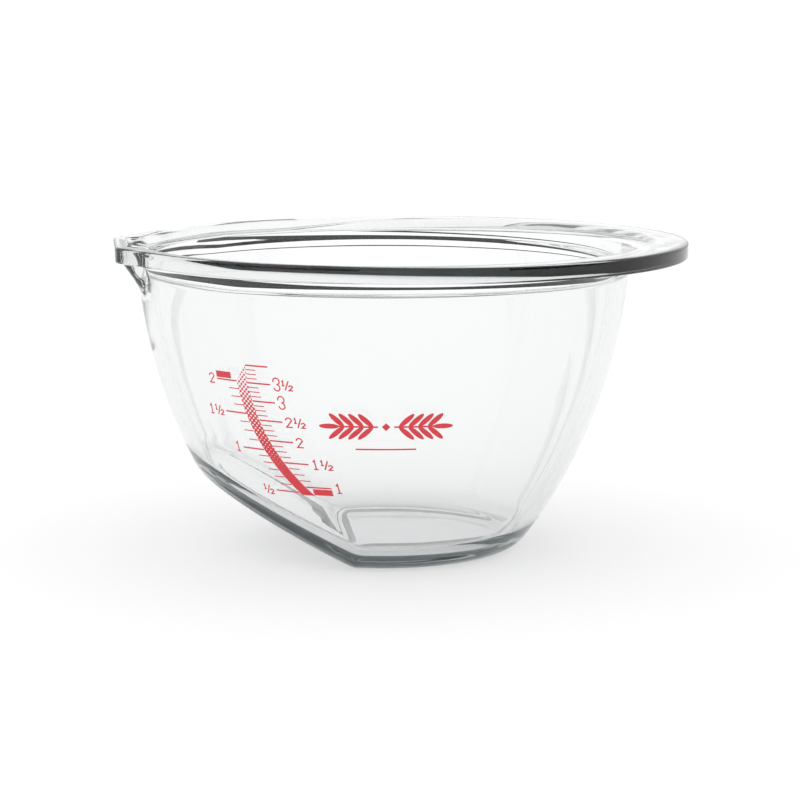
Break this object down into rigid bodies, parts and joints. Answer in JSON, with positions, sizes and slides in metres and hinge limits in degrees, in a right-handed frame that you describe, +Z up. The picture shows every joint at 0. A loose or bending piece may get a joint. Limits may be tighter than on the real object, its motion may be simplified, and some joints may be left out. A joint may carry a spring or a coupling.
{
  "type": "mixing bowl",
  "caption": "Clear pressed-glass mixing bowl with a pouring spout, a wide grip flange, a slanted second base facet to rest on when tilted, and a red enamel litre and pint scale.",
  "frame": {"origin": "on the underside of the flat base, on the axis of the round wall", "axes": "+Z up out of the bowl, -X towards the pouring spout, +X towards the grip flange, -Y towards the side with the print"},
  "size_m": [0.2745, 0.26, 0.148],
  "materials": {
    "clear_glass": "clear pressed glass, fire polished",
    "red_enamel": "fired red glass enamel, screen printed, satin gloss"
  },
  "bodies": {
    "root": {"glass_bowl": "clear_glass", "scale_band": "red_enamel", "litre_marks": "red_enamel", "litre_figures": "red_enamel", "litre_tag": "red_enamel", "pint_marks": "red_enamel", "pint_figures": "red_enamel", "pint_tag": "red_enamel", "badge": "red_enamel", "badge_rule": "red_enamel"}
  },
  "joints": []
}
